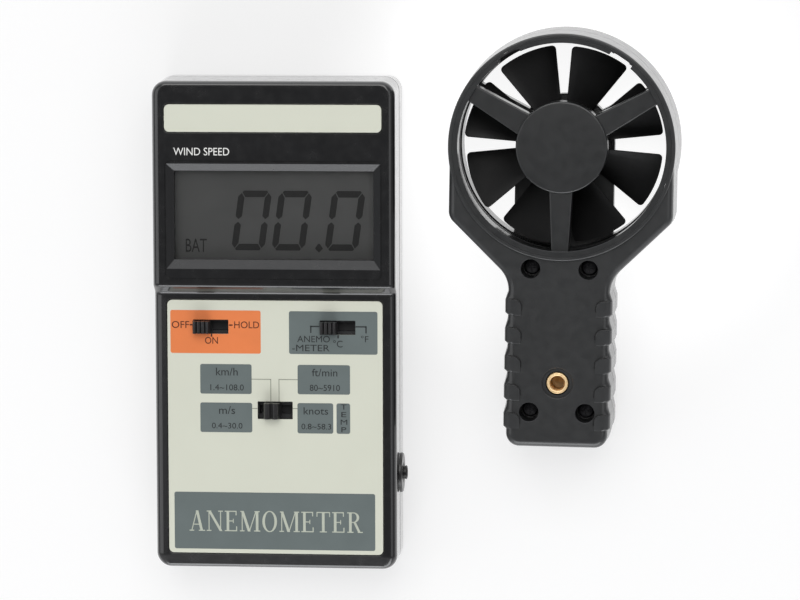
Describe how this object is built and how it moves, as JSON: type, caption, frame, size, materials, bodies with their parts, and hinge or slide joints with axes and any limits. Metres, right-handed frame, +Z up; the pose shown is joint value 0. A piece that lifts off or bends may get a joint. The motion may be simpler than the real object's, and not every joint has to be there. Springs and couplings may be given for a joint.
{
  "type": "vane anemometer",
  "caption": "Hand-held air speed meter with a display and slide switches, and a separate vane probe: a ring with a bladed impeller on a ribbed handle.",
  "frame": {"origin": "on the surface that both halves lie on, under the middle of the pair's bounding box", "axes": "+X to the right of the display, from the meter to the probe; +Y towards the display end and the vane; +Z up, out of the meter's face and along the vane's axis"},
  "size_m": [0.1643, 0.1699, 0.029],
  "materials": {
    "case_black": "moulded black ABS with a fine even texture and a satin sheen",
    "probe_black": "moulded charcoal ABS, satin",
    "knob_black": "smooth black acetal",
    "label_cream": "printed polycarbonate film, semi-matt cream",
    "window_grey": "clear acrylic over a dark display",
    "display_glass": "liquid crystal cell, dark grey",
    "board_green": "glass fibre board with green resist",
    "chip_black": "moulded epoxy, matt",
    "switch_steel": "tinned steel",
    "screw_steel": "zinc plated steel",
    "brass": "turned brass",
    "battery_shell": "plain printed metal jacket",
    "lead_red": "soft red insulation",
    "lead_black": "soft black insulation",
    "zebra_grey": "silicone with conducting layers",
    "trimmer_blue": "moulded blue plastic"
  },
  "bodies": {
    "meter": {"front_case": "case_black", "rear_case": "case_black", "name_strip": "label_cream", "face_panel": "label_cream", "lcd_window": "window_grey", "lcd_glass": "display_glass", "lcd_frame": "chip_black", "zebra_strip_upper": "zebra_grey", "zebra_strip_lower": "zebra_grey", "main_board": "board_green", "counter_chip": "chip_black", "timing_crystal": "switch_steel", "smoothing_capacitor": "chip_black", "trimmer_left": "trimmer_blue", "trimmer_right": "trimmer_blue", "power_switch_body": "switch_steel", "function_switch_body": "switch_steel", "unit_switch_body": "switch_steel", "probe_jack": "knob_black", "jack_nut": "knob_black", "battery": "battery_shell", "battery_snap": "lead_black", "battery_lead_red": "lead_red", "battery_lead_black": "lead_black", "case_screw_1": "screw_steel", "case_screw_2": "screw_steel", "case_screw_3": "screw_steel", "case_screw_4": "screw_steel", "board_screw_1": "screw_steel", "board_screw_2": "screw_steel", "board_screw_3": "screw_steel", "board_screw_4": "screw_steel"},
    "power_slider": {"power_slider": "knob_black"},
    "function_slider": {"function_slider": "knob_black"},
    "unit_slider": {"unit_slider": "knob_black"},
    "battery_cover": {"battery_cover": "case_black"},
    "probe": {"probe_upper_shell": "probe_black", "probe_lower_shell": "probe_black", "upper_spider": "probe_black", "lower_spider": "probe_black", "hub_lid": "probe_black", "upper_bearing": "screw_steel", "lower_bearing": "screw_steel", "pickup_board": "board_green", "pickup_lead": "lead_black", "handle_board": "board_green", "handle_amplifier": "chip_black", "probe_socket": "knob_black", "tripod_insert": "brass", "probe_screw_1": "screw_steel", "probe_screw_2": "screw_steel", "probe_screw_3": "screw_steel", "probe_screw_4": "screw_steel"},
    "impeller": {"impeller": "knob_black", "impeller_shaft": "screw_steel", "rotor_magnet": "chip_black"}
  },
  "joints": [
    {"name": "power_slide", "type": "slide", "parent": "meter", "child": "power_slider", "axis": [1, 0, 0], "range_m": [0, 0.0055]},
    {"name": "function_slide", "type": "slide", "parent": "meter", "child": "function_slider", "axis": [1, 0, 0], "range_m": [0, 0.0055]},
    {"name": "unit_slide", "type": "slide", "parent": "meter", "child": "unit_slider", "axis": [1, 0, 0], "range_m": [-0.00183, 0.00367]},
    {"name": "cover_slide", "type": "slide", "parent": "meter", "child": "battery_cover", "axis": [0, -1, 0], "range_m": [0, 0.04]},
    {"name": "probe_lift", "type": "slide", "parent": "meter", "child": "probe", "axis": [0, 0, 1], "range_m": [0, 0.15]},
    {"name": "impeller_spin", "type": "hinge", "parent": "probe", "child": "impeller", "pos_m": [0.04615, 0.04895, 0.014], "axis": [0, 0, 1], "continuous": true}
  ]
}
